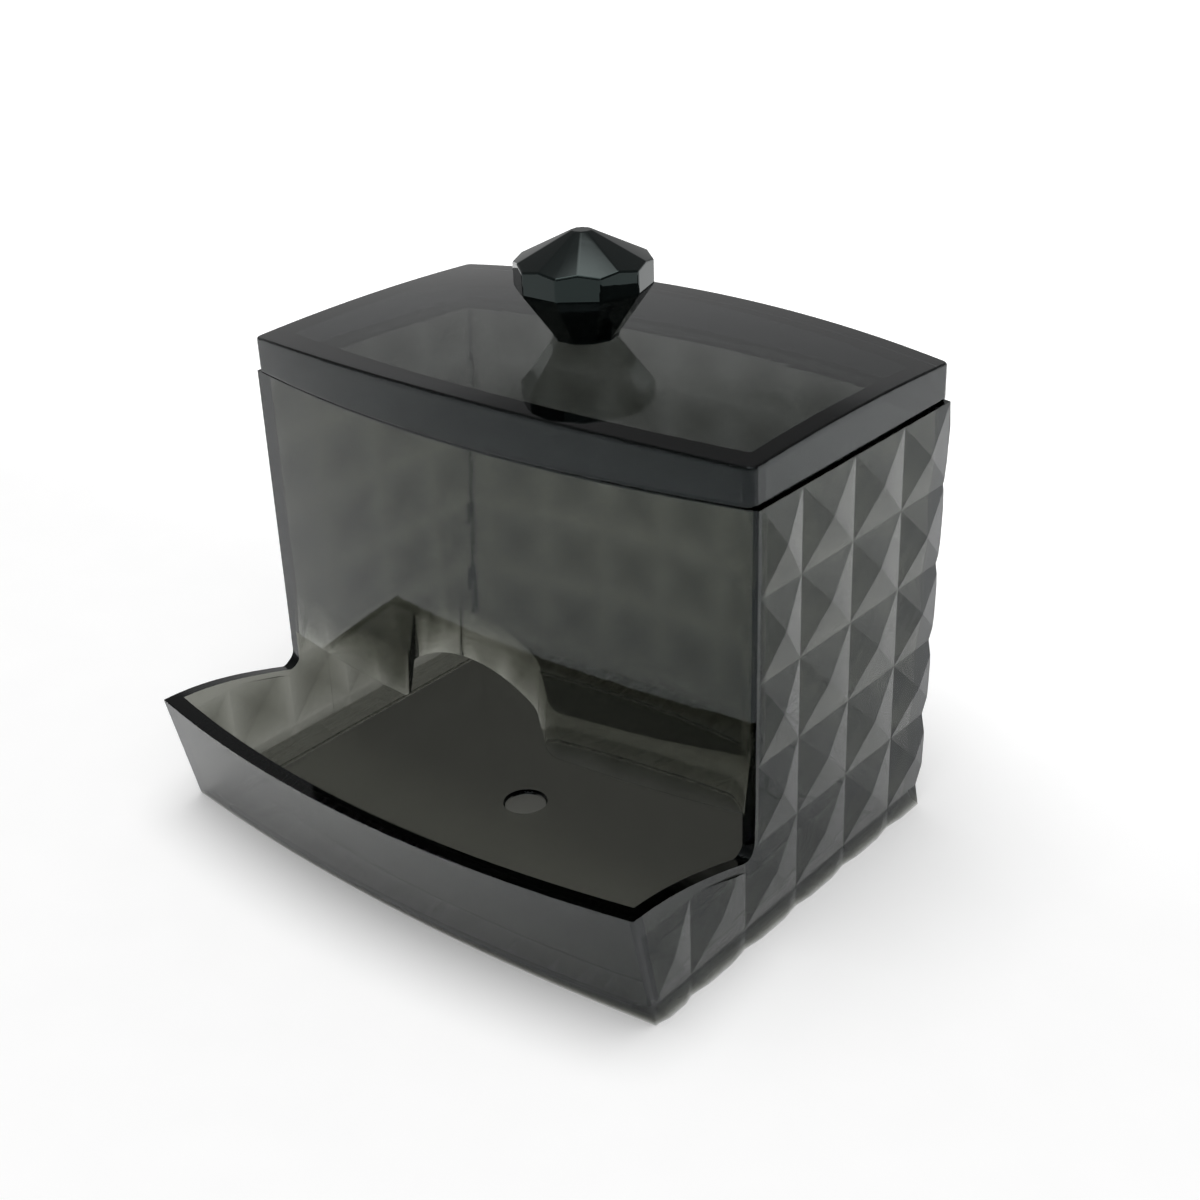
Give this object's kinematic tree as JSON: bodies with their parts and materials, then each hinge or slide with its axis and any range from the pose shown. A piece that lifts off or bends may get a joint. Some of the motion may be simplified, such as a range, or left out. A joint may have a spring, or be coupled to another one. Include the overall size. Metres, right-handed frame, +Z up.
{
  "type": "cotton swab container",
  "caption": "Smoke-clear moulded box for cotton swabs with a bowed front panel arched over an open dispensing tray, pyramid-patterned side and back walls, and a lift-off lid with a gem-cut knob.",
  "frame": {"origin": "middle of the box round the whole object, on the table it stands on", "axes": "+X along the width, to the right seen from the front; -Y towards the dispensing tray; +Z up"},
  "size_m": [0.1188, 0.104, 0.1096],
  "materials": {
    "smoke_container": "polished smoke-clear moulded polystyrene",
    "smoke_lid": "polished smoke-clear moulded polystyrene",
    "smoke_knob": "polished dark smoke plastic, cut in flat facets"
  },
  "bodies": {
    "container": {"container_body": "smoke_container"},
    "lid": {"lid": "smoke_lid", "knob": "smoke_knob"}
  },
  "joints": [
    {"name": "lid_lift", "type": "slide", "parent": "container", "child": "lid", "axis": [0, 0, 1], "range_m": [0, 0.06]}
  ]
}
